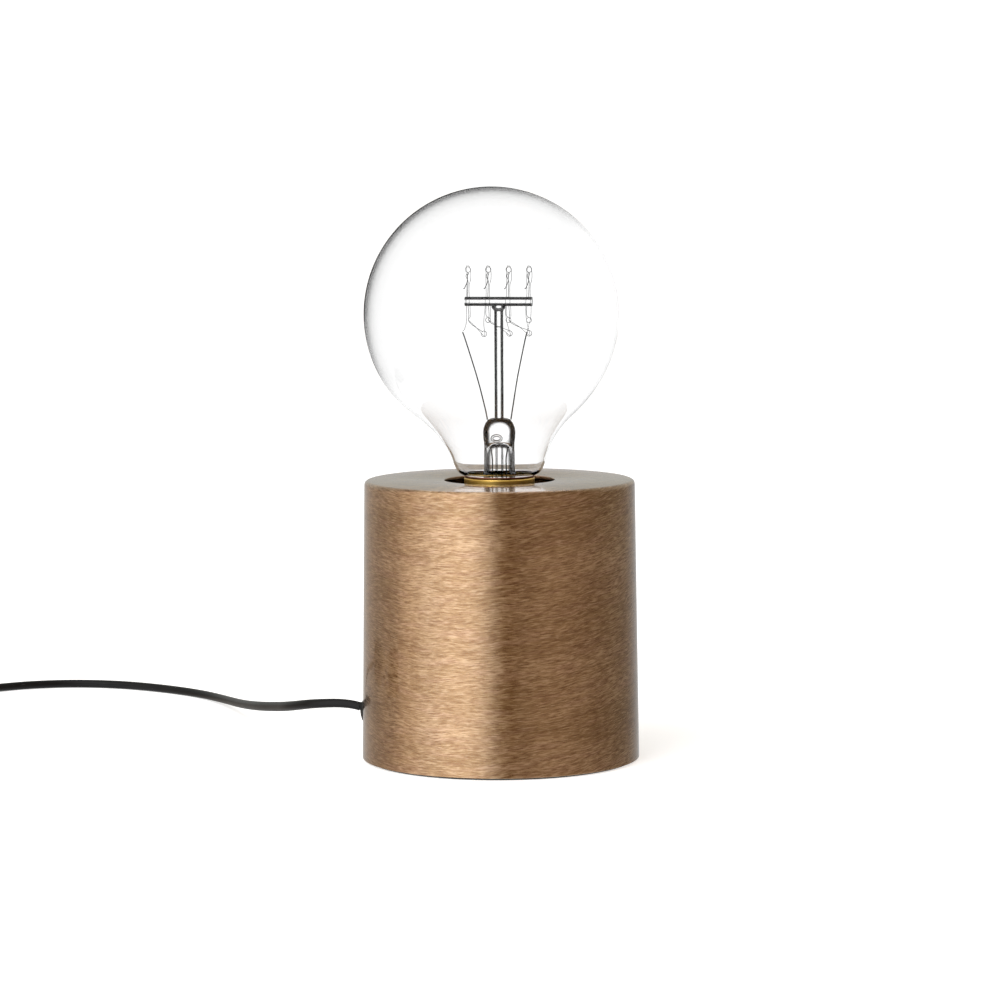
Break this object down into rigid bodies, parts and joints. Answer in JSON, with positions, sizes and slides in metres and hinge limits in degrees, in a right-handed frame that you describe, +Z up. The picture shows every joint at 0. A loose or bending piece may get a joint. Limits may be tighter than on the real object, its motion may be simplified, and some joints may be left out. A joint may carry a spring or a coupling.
{
  "type": "bare bulb table lamp",
  "caption": "Table lamp with no shade: a low brass can that holds a large clear globe bulb upright in a round hole in its top, with a cord, a rocker switch and a flat plug.",
  "frame": {"origin": "on the table, under the can's axis", "axes": "+Z is up, along the can's and the bulb's axis. The picture looks along +Y, and +X is to its right. The cord leaves towards -X."},
  "size_m": [0.3316, 0.2403, 0.214],
  "materials": {
    "shell_brass": "antique brass: a lacquered, brushed and lightly mottled sheet",
    "zinc_steel": "zinc plated steel",
    "felt": "black felt",
    "contact_brass": "bright brass",
    "holder_plastic": "moulded black plastic",
    "copper_wire": "tinned copper conductors",
    "cap_brass": "gold coloured brass",
    "cap_glass": "black vitrite glass",
    "solder": "tinned solder",
    "clear_glass": "clear blown glass",
    "stem_glass": "clear pressed glass",
    "nickel_wire": "nickel wire",
    "tungsten": "drawn tungsten",
    "black_rubber": "black rubber",
    "cord_black": "black plastic sheath",
    "tie_black": "black plastic strap",
    "switch_black": "moulded black plastic",
    "plug_black": "moulded black plastic",
    "pin_nickel": "nickel plated brass"
  },
  "bodies": {
    "lamp": {"base_shell": "shell_brass", "bottom_plate": "zinc_steel", "felt_pad": "felt", "mounting_tabs": "zinc_steel", "plate_screws": "zinc_steel", "holder_bracket": "zinc_steel", "bracket_screws": "zinc_steel", "bracket_nuts": "zinc_steel", "nipple": "contact_brass", "nipple_nut": "zinc_steel", "nipple_washer": "zinc_steel", "holder_cap": "holder_plastic", "holder_grub_screw": "zinc_steel", "holder_insulator": "holder_plastic", "holder_terminals": "contact_brass", "terminal_screws": "zinc_steel", "centre_contact": "contact_brass", "shell_contact": "contact_brass", "screw_shell": "contact_brass", "holder_skirt": "holder_plastic", "holder_wires": "copper_wire", "cord_grommet": "black_rubber", "cord_inside": "cord_black", "cord_clamp": "holder_plastic", "clamp_screws": "zinc_steel", "cord": "cord_black", "cord_to_coil": "cord_black", "cord_coil": "cord_black", "cord_to_plug": "cord_black", "cord_tie": "tie_black", "switch_lower": "switch_black", "switch_upper": "switch_black", "switch_contacts": "contact_brass", "switch_wires": "copper_wire", "switch_screws": "zinc_steel", "plug_body": "plug_black", "plug_pins": "pin_nickel"},
    "switch_rocker": {"switch_rocker": "switch_black", "switch_bridge": "contact_brass"},
    "bulb_axis": {"exhaust_tube": "stem_glass"},
    "bulb": {"bulb_glass": "clear_glass", "bulb_cap": "cap_brass", "cap_insulator": "cap_glass", "cap_contact": "solder", "bulb_stem": "stem_glass", "glass_rod": "stem_glass", "glass_crossbar": "stem_glass", "lead_wires": "nickel_wire", "support_wires": "nickel_wire", "filament": "tungsten"}
  },
  "joints": [
    {"name": "bulb_lift", "type": "slide", "parent": "lamp", "child": "bulb_axis", "axis": [0, 0, 1], "range_m": [0, 0.0109]},
    {"name": "bulb_turn", "type": "hinge", "parent": "bulb_axis", "child": "bulb", "pos_m": [0, 0, 0.15], "axis": [0, 0, 1], "range_deg": [0, 1080]},
    {"name": "switch_rocker", "type": "hinge", "parent": "lamp", "child": "switch_rocker", "pos_m": [-0.2295, 0.105, 0.014], "axis": [-1, 0, 0], "range_deg": [0, 16]}
  ],
  "couplings": [
    {"joint": "bulb_lift", "follows": "bulb_turn", "m_per_rad": 0.00057757}
  ]
}
